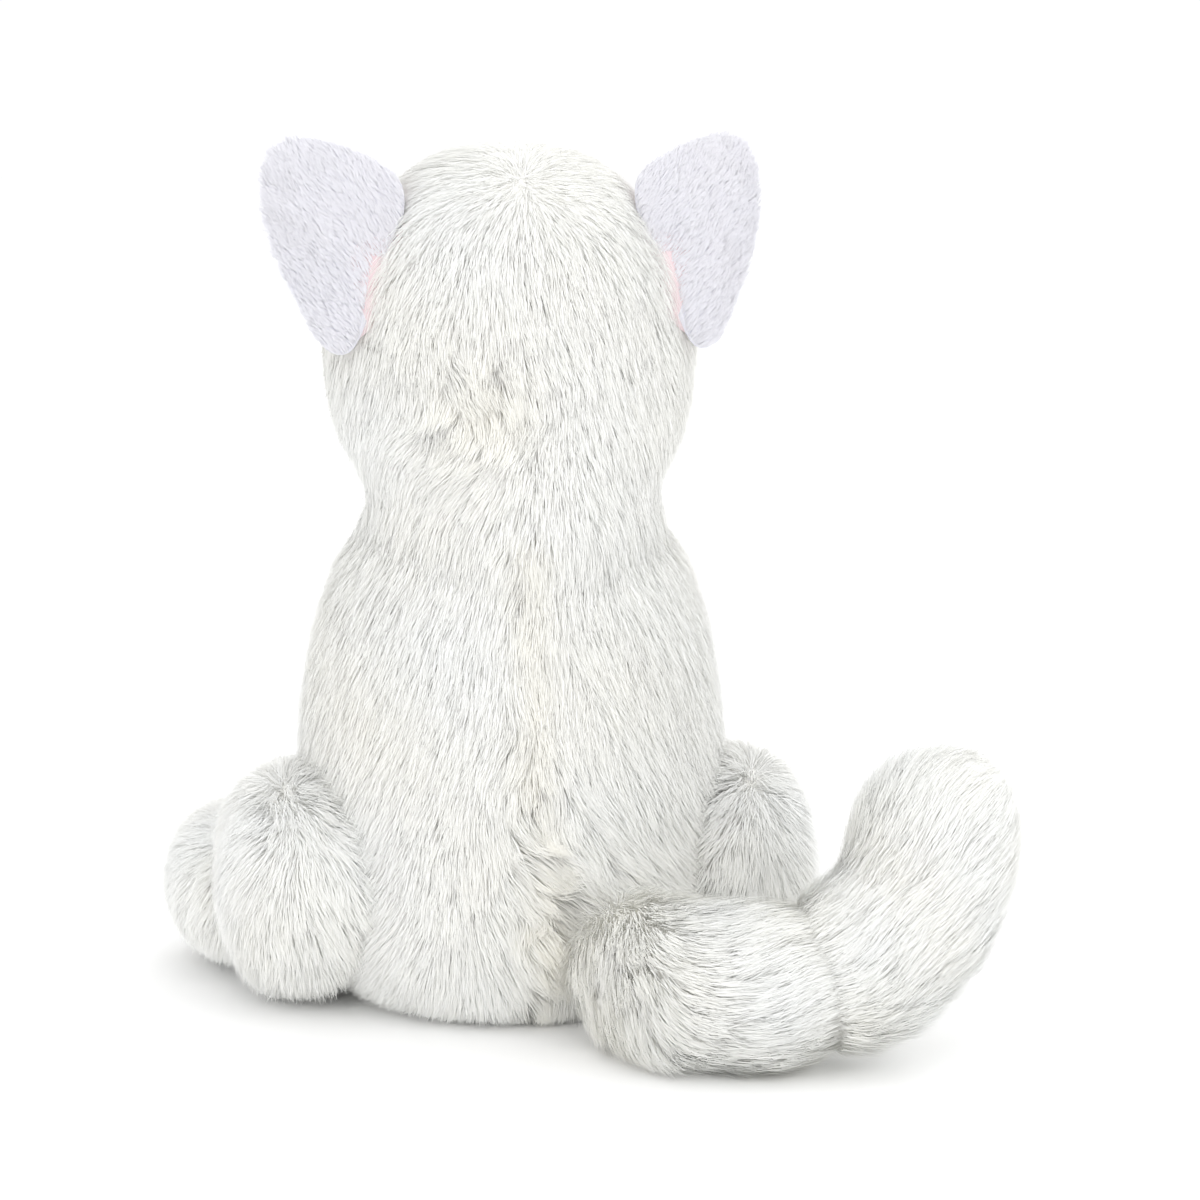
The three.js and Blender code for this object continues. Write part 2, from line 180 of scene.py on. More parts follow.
def fur_material(name, cool, warm, root_painted_shade):
    """Fur reads its map: across is the strand's tone from cool white to warm ivory, and the ivory end is
    partly painted shade in partings and hollows; up is root to tip, darker at the root as painted shade deep
    in the pile.
    """
    material, tree, shader = new_material(name)
    where = add_node(tree, "ShaderNodeUVMap", uv_map="OFBake")
    split = add_node(tree, "ShaderNodeSeparateXYZ")
    tree.links.new(where.outputs["UV"], split.inputs["Vector"])
    tone_and_painted_shade = ramp(tree, split.outputs["X"], [(0, cool), (1, warm)])
    # Painted shade: each strand is darker towards its root, as if shaded deep in the pile.
    shade = ramp(tree, split.outputs["Y"], [(0, (root_painted_shade,) * 3), (0.5, (0.98,) * 3), (1, (1, 1, 1))])
    mix = add_node(tree, "ShaderNodeMix", data_type="RGBA", blend_type="MULTIPLY")
    mix.inputs["Factor"].default_value = 1
    tree.links.new(tone_and_painted_shade, mix.inputs["A"])
    tree.links.new(shade, mix.inputs["B"])
    tree.links.new(mix.outputs["Result"], shader.inputs["Base Color"])
    shader.inputs["Roughness"].default_value = 0.8
    shader.inputs["Specular IOR Level"].default_value = 0.15
    return material


def cloth_material(name, color, shade, scale, bump):
    """Knitted backing or short pile: fine grain in colour and height."""
    material, tree, shader = new_material(name)
    place = add_node(tree, "ShaderNodeTexCoord")
    grain = add_node(tree, "ShaderNodeTexNoise")
    grain.inputs["Scale"].default_value = scale
    grain.inputs["Detail"].default_value = 6
    grain.inputs["Roughness"].default_value = 0.7
    tree.links.new(place.outputs["Object"], grain.inputs["Vector"])
    tone = ramp(tree, grain.outputs["Fac"], [(0.3, shade), (0.7, color)])
    tree.links.new(tone, shader.inputs["Base Color"])
    height = add_node(tree, "ShaderNodeBump")
    height.inputs["Strength"].default_value = bump
    height.inputs["Distance"].default_value = 0.4 * MM
    tree.links.new(grain.outputs["Fac"], height.inputs["Height"])
    tree.links.new(height.outputs["Normal"], shader.inputs["Normal"])
    shader.inputs["Roughness"].default_value = 0.9
    shader.inputs["Sheen Weight"].default_value = 0.2
    return material


def plastic_material(name, color, shade, roughness):
    """Moulded plastic: a faint flow of tone and a fine satin texture."""
    material, tree, shader = new_material(name)
    place = add_node(tree, "ShaderNodeTexCoord")
    flow = add_node(tree, "ShaderNodeTexNoise")
    flow.inputs["Scale"].default_value = 180
    texture = add_node(tree, "ShaderNodeTexNoise")
    texture.inputs["Scale"].default_value = 2500
    for noise in (flow, texture):
        tree.links.new(place.outputs["Object"], noise.inputs["Vector"])
    tone = ramp(tree, flow.outputs["Fac"], [(0.35, shade), (0.65, color)])
    tree.links.new(tone, shader.inputs["Base Color"])
    height = add_node(tree, "ShaderNodeBump")
    height.inputs["Strength"].default_value = 0.25
    height.inputs["Distance"].default_value = 0.1 * MM
    tree.links.new(texture.outputs["Fac"], height.inputs["Height"])
    tree.links.new(height.outputs["Normal"], shader.inputs["Normal"])
    shader.inputs["Roughness"].default_value = roughness
    return material


# ---- Stuffed forms ----

def stuffed_form(name, nodes, voxel, cap, fill_out, pressure=4.0, smoothing=6, reshape=None):
    """One closed skin round these CAD solids, blown up by cloth pressure by at most cap.

    The smoothed form is then let out all round by fill_out, up to the roots of its pile, and
    reshape may draw its points in where the sewing gathers them.
    """
    bm = bmesh.new()
    for node in nodes:
        bm.from_mesh(NODES[node].data)
    mesh = bpy.data.meshes.new(name)
    bm.to_mesh(mesh)
    bm.free()
    form = bpy.data.objects.new(name, mesh)
    bpy.context.scene.collection.objects.link(form)
    remesh = form.modifiers.new("remesh", "REMESH")
    remesh.mode = "VOXEL"
    remesh.voxel_size = voxel
    bake_modifiers(form)
    keep_outer_shell(form.data)
    inflate(form, pressure, cap)
    for iterations in (smoothing, smoothing // 2):
        smooth = form.modifiers.new("smooth", "SMOOTH")
        smooth.factor = 0.5
        smooth.iterations = iterations
        let_out = form.modifiers.new("let_out", "DISPLACE")
        let_out.mid_level = 0
        let_out.strength = fill_out / 2
    divide = form.modifiers.new("divide", "SUBSURF")
    divide.levels = 1
    bake_modifiers(form)
    points = vertices_of(form.data)
    if reshape:
        points = reshape(points)
    points[:, 2] = np.maximum(points[:, 2], FLOOR_GAP)
    set_vertices(form.data, points)
    return form


def set_vertices(mesh, points):
    mesh.vertices.foreach_set("co", points.astype(np.float32).ravel())
    mesh.update()


def bake_modifiers(obj):
    """Replaces obj's mesh by what its modifiers make of it."""
    graph = bpy.context.evaluated_depsgraph_get()
    mesh = bpy.data.meshes.new_from_object(obj.evaluated_get(graph))
    obj.modifiers.clear()
    obj.data = mesh


def keep_outer_shell(mesh):
    """Drops the walls that a remesh leaves inside a form: only the widest island stays."""
    bm = bmesh.new()
    bm.from_mesh(mesh)
    bm.verts.ensure_lookup_table()
    unseen = set(bm.verts)
    islands = []
    while unseen:
        stack = [unseen.pop()]
        island = list(stack)
        while stack:
            for edge in stack.pop().link_edges:
                for vert in edge.verts:
                    if vert in unseen:
                        unseen.remove(vert)
                        stack.append(vert)
                        island.append(vert)
        islands.append(island)
    widest = max(islands, key=lambda island: max(v.co.z for v in island) - min(v.co.z for v in island))
    keep = set(widest)
    bmesh.ops.delete(bm, geom=[v for v in bm.verts if v not in keep], context="VERTS")
    bm.to_mesh(mesh)
    bm.free()


def inflate(form, pressure, cap):
    """Cloth pressure from inside, with no point moving further than cap."""
    rest = vertices_of(form.data)
    cloth = form.modifiers.new("cloth", "CLOTH")
    cloth.settings.use_pressure = True
    cloth.settings.uniform_pressure_force = pressure
    cloth.settings.effector_weights.gravity = 0
    cloth.settings.quality = 5
    cloth.point_cache.frame_start = 1
    cloth.point_cache.frame_end = CLOTH_FRAMES
    scene = bpy.context.scene
    for step in range(1, CLOTH_FRAMES + 1):
        scene.frame_set(step)
    graph = bpy.context.evaluated_depsgraph_get()
    swollen = vertices_of(form.evaluated_get(graph).data)
    form.modifiers.clear()
    scene.frame_set(1)
    move = swollen - rest
    far = np.linalg.norm(move, axis=1, keepdims=True)
    move *= np.minimum(1, cap / np.maximum(far, 1e-9))
    set_vertices(form.data, rest + move)


def vertices_of(mesh):
    co = np.empty(len(mesh.vertices) * 3, np.float32)
    mesh.vertices.foreach_get("co", co)
    return co.reshape(-1, 3).astype(float)


# ---- Panels ----

def panel(name, form, cuts, body, nodes, material, blend=None):
    """A sewn panel: the form's surface on the kept side of each cut plane (point, normal)."""
    bm = bmesh.new()
    bm.from_mesh(form.data)
    for point, normal in cuts:
        everything = bm.verts[:] + bm.edges[:] + bm.faces[:]
        bmesh.ops.bisect_plane(bm, geom=everything, plane_co=point, plane_no=normal, clear_inner=True)
    mesh = bpy.data.meshes.new(name)
    bm.to_mesh(mesh)
    bm.free()
    mesh.polygons.foreach_set("use_smooth", [True] * len(mesh.polygons))
    piece = bpy.data.objects.new(name, mesh)
    bpy.context.scene.collection.objects.link(piece)
    thick = piece.modifiers.new("backing", "SOLIDIFY")
    thick.thickness = BACKING
    thick.offset = -1
    piece.data.materials.append(material)
    bake_modifiers(piece)
    if blend:
        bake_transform(piece)
    else:
        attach(piece, body)
    if nodes:
        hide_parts(*nodes)


def filling(name, form, nodes, material):
    """The loose fibre inside a form, clear of the fabric."""
    mesh = form.data.copy()
    normals = np.empty(len(mesh.vertices) * 3, np.float32)
    mesh.vertex_normals.foreach_get("vector", normals)
    set_vertices(mesh, vertices_of(mesh) - normals.reshape(-1, 3) * 2 * BACKING)
    mesh.polygons.foreach_set("use_smooth", [True] * len(mesh.polygons))
    mesh.materials.append(material)
    piece = bpy.data.objects.new(name, mesh)
    bpy.context.scene.collection.objects.link(piece)
    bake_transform(piece)
    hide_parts(*nodes)


# ---- Fur ----

def scatter(form, per_mm2, rng):
    """Random roots spread evenly over a form, with smooth normals."""
    mesh = form.data
    mesh.calc_loop_triangles()
    corners = np.empty(len(mesh.loop_triangles) * 3, np.int32)
    mesh.loop_triangles.foreach_get("vertices", corners)
    corners = corners.reshape(-1, 3)
    co = vertices_of(mesh)
    normal = np.empty(len(mesh.vertices) * 3, np.float32)
    mesh.vertex_normals.foreach_get("vector", normal)
    normal = normal.reshape(-1, 3).astype(float)
    a, b, c = (co[corners[:, k]] for k in range(3))
    area = np.linalg.norm(np.cross(b - a, c - a), axis=1) / 2
    count = int(area.sum() / MM**2 * per_mm2 * DENSITY)
    pick = rng.choice(len(area), count, p=area / area.sum())
    u, v = rng.random((2, count, 1))
    fold = (u + v) > 1
    u, v = np.where(fold, 1 - u, u), np.where(fold, 1 - v, v)
    weights = (1 - u - v, u, v)
    points = sum(w * co[corners[pick, k]] for k, w in enumerate(weights))
    normals = sum(w * normal[corners[pick, k]] for k, w in enumerate(weights))
    return points, unit(normals)


def unit(vectors):
    return vectors / np.maximum(np.linalg.norm(vectors, axis=-1, keepdims=True), 1e-12)


def along_skin(vectors, normals):
    return unit(vectors - normals * np.sum(vectors * normals, axis=1, keepdims=True))


def waves(points, size, seed, terms=5):
    """A smooth random vector field with features of about this size."""
    rng = np.random.default_rng(seed)
    field = np.zeros_like(points)
    for _ in range(terms):
        wave = unit(rng.normal(size=3)) * (2 * math.pi / size) * rng.uniform(0.7, 1.5)
        phase = rng.uniform(0, 2 * math.pi, 3)
        field += np.sin((points @ wave)[:, None] + phase)
    return field / terms


def smooth_step(share):
    share = np.clip(share, 0, 1)
    return share * share * (3 - 2 * share)


def at(value, points):
    """A measure at each point: value is one number, or a function of the points."""
    return value(points) if callable(value) else np.full(len(points), value)


def bunch(points, spacing, per_mm2, rng):
    """Picks roots as the middles of tufts, and gives each root the number of its nearest tuft."""
    share = max(int(len(points) * (MM / spacing) ** 2 / (per_mm2 * DENSITY)), 8)
    centres = np.sort(rng.permutation(len(points))[:share])
    tree = kdtree.KDTree(len(centres))
    for number, root in enumerate(centres):
        tree.insert(points[root], number)
    tree.balance()
    return centres, np.fromiter((tree.find(p)[1] for p in points), int, len(points))


class Fur:
    """The strands of one form. Where ruffle is 0 they lie combed and even, where 1 in loose tufts."""

    JOINTS_AT = (0.0, 0.5, 1.0)  # along a strand, from root to tip
    STRAY = 0.1  # how far a strand strays from the combing, as a share of its direction
    KINK = 0.03  # how far its middle strays, as a share of its length
    ROLL = 0.15  # radians that its flat side turns about its length
    TINT_SPREAD = 0.08
    LAY = 0.8  # how far a strand reaches along the skin, as a share of its length

    def __init__(self, form, seed, flow, length, tone_and_painted_shade, stand=0.42, ruffle=0.2,
                 per_mm2=STRANDS_PER_MM2, width=0.29 * MM, tuft=6 * MM):
        rng = np.random.default_rng(seed)
        self.points, self.normals = scatter(form, per_mm2, rng)
        count = len(self.points)
        loose = at(ruffle, self.points)[:, None]
        stray = rng.normal(size=(count, 3))
        swirl = waves(self.points, 5 * tuft, seed + 1) + 0.6 * waves(self.points, 2 * tuft, seed + 2)
        flow_here = unit(flow(self.points)) + (0.1 + 1.1 * loose) * swirl
        self.comb = along_skin(flow_here + self.STRAY * stray, self.normals)
        self.length = (at(length, self.points) * rng.uniform(0.8, 1.1, count))[:, None]
        upright = rng.uniform(0.8, 1.1, count) + 0.35 * rng.random(count) ** 4
        self.stand = (at(stand, self.points) * upright)[:, None]
        spread = rng.normal(0, self.TINT_SPREAD, count)
        # The strand's tone sets how ivory it is. Ivory is partly painted shade in partings and hollows, and
        # the spread is its own uneven tone.
        self.tone_and_painted_shade = np.clip(at(tone_and_painted_shade, self.points) + spread, 0, 0.999)
        self.width = width / math.sqrt(DENSITY)
        self.roll = rng.uniform(-self.ROLL, self.ROLL, count)
        centres, mine = bunch(self.points, tuft, per_mm2, rng)
        lean = rng.normal(size=(len(centres), 3))[mine]
        reach = self.points + self.offset(1.0)
        self.tuft_tip = reach[centres][mine] + self.length * (0.06 + 0.2 * loose) * lean
        self.pull = np.clip((0.08 + 0.6 * loose) * rng.uniform(0.4, 1.3, (count, 1)), 0, 0.95)
        self.kink = self.KINK * rng.normal(size=(count, 3))
        self.shading = unit(self.normals + (0.03 + 0.3 * loose) * lean + 0.05 * stray)

    def offset(self, t):
        """How far from its root a free strand is at t."""
        rise = self.stand * (1 - (1 - t) ** 2)
        run = self.LAY * t ** 1.5
        return self.length * (self.normals * rise + self.comb * run)

    def spine(self, t):
        """Where every strand is at t, from 0 at the root to 1 at the tip."""
        free = self.points + self.offset(t) + self.length * self.kink * math.sin(math.pi * t)
        pull = self.pull * t ** 1.6
        place = free * (1 - pull) + self.tuft_tip * pull
        place[:, 2] = np.maximum(place[:, 2], FLOOR_GAP)
        return place

    def blades(self, keep):
        """Corners and triangles of one thin tapered blade for each kept strand."""
        spine = [self.spine(t)[keep] for t in self.JOINTS_AT]
        along = unit(spine[-1] - spine[0])
        across = unit(np.cross(along, self.normals[keep]))
        over = np.cross(across, along)
        roll = self.roll[keep][:, None]
        across = across * np.cos(roll) + over * np.sin(roll)
        rows = []
        for t, centre in zip(self.JOINTS_AT[:-1], spine[:-1]):
            half = across * (self.width / 2) * (1 - 0.5 * t)
            rows += [centre - half, centre + half]
        rows.append(spine[-1])
        faces = []
        for low in range(0, len(rows) - 3, 2):
            faces += [(low, low + 1, low + 3), (low, low + 3, low + 2)]
        last = len(rows) - 1
        faces.append((last - 2, last - 1, last))
        return np.stack(rows, axis=1), np.array(faces)

    def map_corners(self, keep):
        """Each strand's strip of the fur's map: the column of its tone, painted shade included, and up it
        from root to tip.
        """
        column = np.floor(self.tone_and_painted_shade[keep] * FUR_COLUMNS)
        places = []
        for t in self.JOINTS_AT:
            up = np.full(len(column), 0.02 + 0.96 * t)
            sides = (0.5,) if t == 1 else (0.1, 0.9)
            places += [np.stack([(column + side) / FUR_COLUMNS, up], axis=1) for side in sides]
        return np.stack(places, axis=1)

    def piece(self, name, keep, material):
        """An object of the kept strands, shaded like the skin that they grow on."""
        corners, faces = self.blades(keep)
        count, each = corners.shape[:2]
        index = np.arange(count)[:, None, None] * each + faces[None]
        mesh = bpy.data.meshes.new(name)
        mesh.vertices.add(count * each)
        mesh.vertices.foreach_set("co", corners.astype(np.float32).ravel())
        mesh.loops.add(index.size)
        mesh.loops.foreach_set("vertex_index", index.astype(np.int32).ravel())
        mesh.polygons.add(count * len(faces))
        mesh.polygons.foreach_set("loop_start", np.arange(0, index.size, 3, dtype=np.int32))
        mesh.polygons.foreach_set("use_smooth", np.ones(count * len(faces), bool))
        layer = mesh.uv_layers.new(name="OFBake")
        places = self.map_corners(keep)[:, faces.ravel()]
        layer.uv.foreach_set("vector", places.astype(np.float32).ravel())
        mesh.update(calc_edges=True)
        soft = mesh.attributes.new("custom_normal", "FLOAT_VECTOR", "POINT")
        shading = np.repeat(self.shading[keep], each, axis=0)
        soft.data.foreach_set("vector", shading.astype(np.float32).ravel())
        mesh.materials.append(material)
        piece = bpy.data.objects.new(name, mesh)
        bpy.context.scene.collection.objects.link(piece)
        return piece


def add_fur(fur, name, keep, material, body=None, blend=None):
    piece = fur.piece(name, keep, material)
    if blend:
        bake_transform(piece)
    else:
        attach(piece, body)


# ---- The cat ----

def near(points, place, radius):
    """1 at place, fading to 0 over radius."""
    far = np.linalg.norm(points - np.array(place), axis=1) / radius
    return np.exp(-far ** 2)


NAPE = np.array([15, 50, 199]) * MM  # the middle of the swirl at the back of the head
SWIRL = 26 * MM  # the swirl's radius
NOSE_Z = 208 * MM
RUMP = np.array([-8, 66, 40]) * MM  # where the pile is brushed up above the tail


def body_flow(points):
    """Down the head and back from the crown, with a swirl at the nape; out from the nose on the face."""
    x, y, z = points.T
    level = 0 * x
    down = np.stack([0.35 * np.tanh(x / (30 * MM)), level, level - 1], axis=1)
    over_crown = np.stack([np.tanh(x / (15 * MM)), level - 0.5, level - 0.3], axis=1)
    crown = smooth_step((z - 240 * MM) / (36 * MM))[:, None]
    swirl = near(points, NAPE, SWIRL)[:, None]
    round_nape = np.stack([NAPE[2] - z, level, x - NAPE[0]], axis=1) / SWIRL
    to_haunch = smooth_step((85 * MM - z) / (40 * MM)) * smooth_step((np.abs(x) - 30 * MM) / (25 * MM))
    sideways = np.stack([np.sign(x) * to_haunch, level, level], axis=1)
    on_face = smooth_step((EAR_SEAM_Y - y) / (20 * MM)) * smooth_step((z - NECK_Z - 8 * MM) / (20 * MM))
    from_nose = np.stack([x, 0.6 * np.hypot(x, z - NOSE_Z), z - NOSE_Z], axis=1)
    to_tail = near(points, RUMP, 30 * MM)[:, None] * np.array([-1.2, 0, 0])
    combed = down * (1 - crown) + over_crown * crown + 1.1 * swirl * round_nape + sideways + to_tail
    return combed * (1 - on_face[:, None]) + unit(from_nose) * on_face[:, None]


def body_length(points):
    """Shorter on the head than on the back, and shortest on the face."""
    y, z = points[:, 1], points[:, 2]
    back = 14 - 2 * smooth_step((z - NECK_Z) / (20 * MM)) - 3.5 * smooth_step((z - 240 * MM) / (30 * MM))
    return np.where((y < EAR_SEAM_Y) & (z > NECK_Z), 7.5, back) * MM


def body_stand(points):
    """Flatter on the crown."""
    return 0.42 - 0.14 * smooth_step((points[:, 2] - 240 * MM) / (24 * MM))


def spine_seam(points, width):
    """1 on the seam down the back, fading to 0 over width on each side."""
    x, y, z = points.T
    return np.exp(-((x - 2 * MM) / width) ** 2) * (y > 0) * (z < NECK_Z)


def body_ruffle(points):
    lower = np.clip((110 * MM - points[:, 2]) / (50 * MM), 0, 1)
    brushed = 0.55 * near(points, NAPE, 24 * MM) + 0.3 * near(points, RUMP, 34 * MM)
    return np.clip(0.08 + brushed + spine_seam(points, 10 * MM) * (0.2 + 0.3 * lower), 0, 1)


def body_tint_and_painted_shade(points):
    # Ivory here is painted shade: in the parting along the spine seam, in the nape swirl, and in the hollow
    # where the rump meets the tail. cloudy is the fur's own uneven tone.
    nape = near(points, NAPE, 16 * MM)
    rump = near(points, RUMP - (0, 0, 12 * MM), 14 * MM)
    cloudy = 0.2 * waves(points, 60 * MM, 11)[:, 0]
    return 0.35 + 0.35 * spine_seam(points, 6 * MM) + 0.35 * nape + 0.45 * rump + cloudy


def narrow_crown(points):
    """Draws the crown in between the ears."""
    high = smooth_step((points[:, 2] - 232 * MM) / (36 * MM))
    narrow = points.copy()
    narrow[:, 0] *= 1 - 0.12 * high
    return narrow


def build_body(fur, backing):
    form = stuffed_form("body_form", ["torso_stuffing", "pellet_bag", "neck_stuffing", "head_stuffing"],
                        5 * MM, 4 * MM, 5.5 * MM, reshape=narrow_crown)
    low, high = NECK_Z - NECK_HALF, NECK_Z + NECK_HALF
    up, down = (0, 0, 1), (0, 0, -1)
    front, back = (0, -1, 0), (0, 1, 0)
    base_seam = ((0, 0, BASE_SEAM_Z), up)
    torso_top = ((0, 0, low), down)
    side_back, side_front = ((0, SIDE_SEAM_Y, 0), back), ((0, SIDE_SEAM_Y, 0), front)
    left, right = ((0, 0, 0), (1, 0, 0)), ((0, 0, 0), (-1, 0, 0))
    head_cut = ((0, 0, high), up)
    ear_back, ear_front = ((0, EAR_SEAM_Y, 0), back), ((0, EAR_SEAM_Y, 0), front)
    panels = [
        ("base_skin", [((0, 0, BASE_SEAM_Z), down)], "torso", ["base_panel"]),
        ("back_skin_left", [base_seam, torso_top, side_back, left], "torso", ["back_panel_left"]),
        ("back_skin_right", [base_seam, torso_top, side_back, right], "torso", ["back_panel_right"]),
        ("belly_skin", [base_seam, torso_top, side_front], "torso", ["belly_panel"]),
        ("head_back_skin_left", [head_cut, ear_back, left], "head", ["head_back_panel_left"]),
        ("head_back_skin_right", [head_cut, ear_back, right], "head", ["head_back_panel_right"]),
        ("face_skin", [head_cut, ear_front], "head", ["face_panel"]),
    ]
    for name, cuts, body, nodes in panels:
        panel(name, form, cuts, body, nodes, backing)
    lower = ("torso", "neck", (0, 0, low), (0, 0, NECK_Z))
    upper = ("neck", "head", (0, 0, NECK_Z), (0, 0, high))
    panel("neck_skin_lower", form, [((0, 0, low), up), ((0, 0, NECK_Z), down)], None, [],
          backing, blend=lower)
    panel("neck_skin_upper", form, [((0, 0, NECK_Z), up), ((0, 0, high), down)], None, [],
          backing, blend=upper)

    coat = Fur(form, 1, body_flow, body_length, body_tint_and_painted_shade, stand=body_stand, ruffle=body_ruffle)
    x, y, z = coat.points.T
    torso, head = (z < low) & (z > LOWEST_ROOT_Z), z >= high
    backside = y > SIDE_SEAM_Y
    add_fur(coat, "back_fur_left", torso & backside & (x >= 0), fur, "torso")
    add_fur(coat, "back_fur_right", torso & backside & (x < 0), fur, "torso")
    add_fur(coat, "belly_fur", torso & ~backside, fur, "torso")
    add_fur(coat, "neck_fur_lower", (z >= low) & (z < NECK_Z), fur, blend=lower)
    add_fur(coat, "neck_fur_upper", (z >= NECK_Z) & (z < high), fur, blend=upper)
    nape = head & (y > EAR_SEAM_Y)
    add_fur(coat, "head_back_fur_left", nape & (x >= 0), fur, "head")
    add_fur(coat, "head_back_fur_right", nape & (x < 0), fur, "head")
    face = head & ~(y > EAR_SEAM_Y)
    add_fur(coat, "face_fur", face & off_the_face_fittings(coat.points), fur, "head")
    bpy.data.objects.remove(form)


def off_the_face_fittings(points):
    """False where the eyes, the nose and the muzzle sit, so that no strand grows through them."""
    clear = np.ones(len(points), bool)
    rooms = {"eye_left": 2 * MM, "eye_right": 2 * MM, "nose": 1 * MM, "muzzle_panel": -2 * MM}
    for node, room in rooms.items():
        lo, hi = (np.array(corner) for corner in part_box(node))
        middle, half = (lo + hi) / 2, (hi - lo) / 2 + room
        inside = ((points[:, 0] - middle[0]) / half[0]) ** 2 + ((points[:, 2] - middle[2]) / half[2]) ** 2
        clear &= (inside > 1) | (points[:, 1] > 0)
    return clear


def build_muzzle(fur, backing):
    form = stuffed_form("muzzle_form", ["muzzle_panel"], 2.5 * MM, 1 * MM, -0.5 * MM, pressure=1)
    panel("muzzle_skin", form, [], "head", ["muzzle_panel"], backing)
    lo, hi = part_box("muzzle_panel")
    middle = (lo + hi) / 2

    def flow(points):
        side = points - np.array(middle)
        return np.stack([side[:, 0], 0 * side[:, 0] + 5 * MM, side[:, 2] - 4 * MM], axis=1)

    coat = Fur(form, 21, flow, 3.2 * MM, 0.2, per_mm2=3, width=0.3 * MM, tuft=2.5 * MM)
    front = coat.points[:, 1] < lo.y + 0.72 * (hi.y - lo.y)
    clear = np.ones(len(coat.points), bool)
    for node in ("nose", "mouth_stitching"):
        low, high = (np.array(corner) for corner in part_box(node))
        half = (high - low) / 2 + 0.6 * MM
        apart = np.abs(coat.points - (low + high) / 2)
        clear &= ~((apart[:, 0] < half[0]) & (apart[:, 2] < half[2]))
    add_fur(coat, "muzzle_fur", front & clear, fur, "head")
    bpy.data.objects.remove(form)


def build_front_leg(side, sign, fur, backing):
    form = stuffed_form(f"front_leg_form_{side}", [f"front_leg_stuffing_{side}"], 4 * MM, 3 * MM, 3.5 * MM)
    paw_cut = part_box(f"front_paw_tip_{side}")[1].y
    body = f"front_leg_{side}"
    panel(f"front_leg_fabric_{side}", form, [((0, paw_cut, 0), (0, 1, 0))], body,
          [f"front_leg_skin_{side}"], backing)
    panel(f"front_paw_fabric_{side}", form, [((0, paw_cut, 0), (0, -1, 0))], body,
          [f"front_paw_tip_{side}"], backing)

    def flow(points):
        forward = np.clip((35 * MM - points[:, 2]) / (20 * MM), 0, 1)
        return np.stack([0 * forward, -forward, -1 + 0.7 * forward], axis=1)

    def length(points):
        return np.where(points[:, 2] < 35 * MM, 7, 10) * MM

    coat = Fur(form, 31 + sign, flow, length, 0.3, tuft=4.5 * MM)
    above = coat.points[:, 2] > 4 * MM
    add_fur(coat, f"front_leg_fur_{side}", above, fur, body)
    bpy.data.objects.remove(form)


def meet_the_rump(points):
    """Draws the inner side of a haunch in against the torso's round back, so that no valley is left."""
    middle_y = 5 * MM
    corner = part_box("back_panel_left")[1]
    half_depth = corner.y - middle_y
    share = np.clip((points[:, 1] - middle_y) / half_depth, 0, 0.75)
    behind = smooth_step((points[:, 1] - 12 * MM) / (10 * MM))
    valley = corner.x * (1 - np.sqrt(1 - share ** 2)) * behind
    inner = smooth_step((86 * MM - np.abs(points[:, 0])) / (20 * MM))
    drawn = points.copy()
    drawn[:, 0] -= np.sign(points[:, 0]) * inner * valley
    return drawn


def build_hind_leg(side, sign, fur, backing, short):
    form = stuffed_form(f"hind_leg_form_{side}", [f"hind_leg_stuffing_{side}"], 4 * MM, 4 * MM, 5 * MM,
                        reshape=meet_the_rump)
    sole_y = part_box(f"hind_foot_sole_{side}")[1].y
    body = f"hind_leg_{side}"
    panel(f"hind_leg_fabric_{side}", form, [((0, sole_y, 0), (0, 1, 0))], body,
          [f"hind_leg_skin_{side}"], backing)
    panel(f"hind_sole_fabric_{side}", form, [((0, sole_y, 0), (0, -1, 0))], body,
          [f"hind_foot_sole_{side}"], backing)
    hip = JOINTS[f"hind_leg_{side}_lift"]["pos_m"]

    def flow(points):
        on_foot = np.clip((-15 * MM - points[:, 1]) / (20 * MM), 0, 1)[:, None]
        by_hip = smooth_step((abs(hip[0]) + 32 * MM - np.abs(points[:, :1])) / (24 * MM))
        haunch = np.array([0.25 * sign, -0.35, -1]) + by_hip * np.array([-0.6 * sign, 0, 0])
        on_sole = smooth_step((sole_y + 6 * MM - points[:, 1:2]) / (8 * MM))
        foot = np.array([0.25 * sign, -0.6, -0.6]) * (1 - on_sole) + np.array([0, 0, -1]) * on_sole
        return haunch * (1 - on_foot) + foot * on_foot

    def length(points):
        shorter = 4 * smooth_step((-5 * MM - points[:, 1]) / (20 * MM))
        return (14 - shorter - 6 * (points[:, 1] < sole_y)) * MM

    coat = Fur(form, 41 + sign, flow, length, lambda p: 0.3 + 0.2 * waves(p, 50 * MM, 43)[:, 0])
    y, z = coat.points[:, 1], coat.points[:, 2]
    on_flank = (coat.normals[:, 0] * sign < -0.85) & (y > -20 * MM)
    grown = (z > LOWEST_ROOT_Z) & ~on_flank
    add_fur(coat, f"hind_leg_fur_{side}", grown & (y > sole_y), fur, body)
    add_fur(coat, f"hind_sole_fur_{side}", grown & (y <= sole_y), short, body)
    bpy.data.objects.remove(form)


